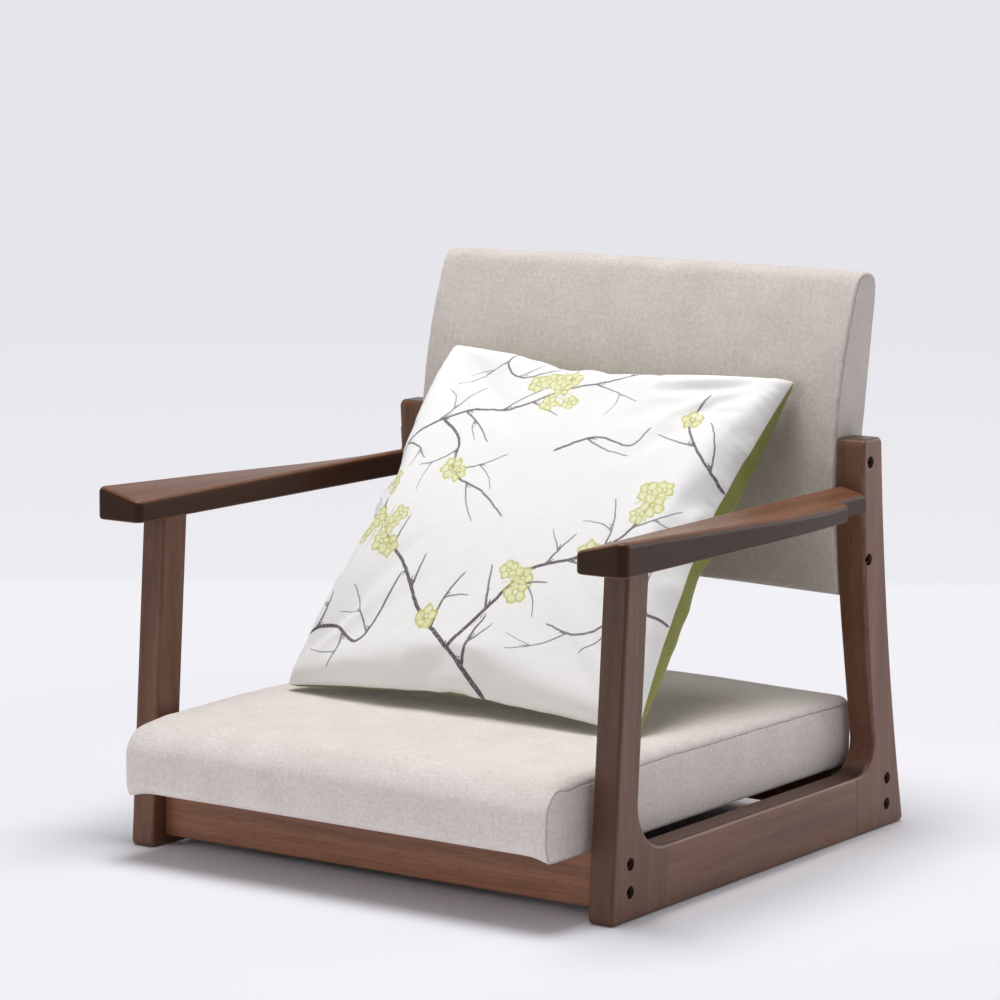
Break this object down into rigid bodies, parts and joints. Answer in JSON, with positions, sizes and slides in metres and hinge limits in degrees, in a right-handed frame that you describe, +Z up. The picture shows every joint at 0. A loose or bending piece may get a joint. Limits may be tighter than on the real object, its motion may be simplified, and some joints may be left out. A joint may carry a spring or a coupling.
{
  "type": "floor chair",
  "caption": "Legless floor chair: wooden side frames with twisted armrests, an upholstered seat, a bowed padded back and a loose scatter cushion.",
  "frame": {"origin": "on the floor, in the middle of the overall width and depth", "axes": "+X towards the right-hand side of someone facing the chair's front, +Y from front to back, +Z up"},
  "size_m": [0.606, 0.5894, 0.552],
  "materials": {
    "walnut": "satin walnut-brown stain and lacquer on solid wood",
    "hidden_hardwood": "plain unfinished hardwood, out of sight",
    "plywood": "plain plywood under the upholstery",
    "linen": "heathered beige-grey linen weave",
    "dust_cloth": "thin black non-woven cloth",
    "foam": "upholstery foam inside the covers",
    "fibre_fill": "soft fibre filling",
    "printed_cotton": null,
    "olive_cotton": "plain olive-green cotton",
    "dark_steel": "dark brown-black oxide on steel",
    "bright_steel": "zinc-plated steel"
  },
  "bodies": {
    "chair": {"back_board": "plywood", "back_bolts": "dark_steel", "back_cover": "linen", "back_foam": "foam", "back_inserts": "bright_steel", "barrel_nuts": "bright_steel", "cleat_screws": "bright_steel", "front_rail": "walnut", "front_seat_cleat": "hidden_hardwood", "left_armrest": "walnut", "left_back_block": "hidden_hardwood", "left_frame_tenons": "hidden_hardwood", "left_front_leg": "walnut", "left_rear_post": "walnut", "left_side_rail": "walnut", "rail_bolts": "dark_steel", "rear_rail": "walnut", "rear_seat_cleat": "hidden_hardwood", "right_armrest": "walnut", "right_back_block": "hidden_hardwood", "right_frame_tenons": "hidden_hardwood", "right_front_leg": "walnut", "right_rear_post": "walnut", "right_side_rail": "walnut", "seat_board": "plywood", "seat_cover": "linen", "seat_dust_cloth": "dust_cloth", "seat_foam": "foam", "seat_screws": "bright_steel"},
    "pillow": {"pillow_front": "printed_cotton", "pillow_back": "olive_cotton", "pillow_filling": "fibre_fill"}
  },
  "joints": [
    {"name": "pillow_lift", "type": "slide", "parent": "chair", "child": "pillow", "axis": [0, -0.5, 0.866], "range_m": [0, 0.5]}
  ]
}
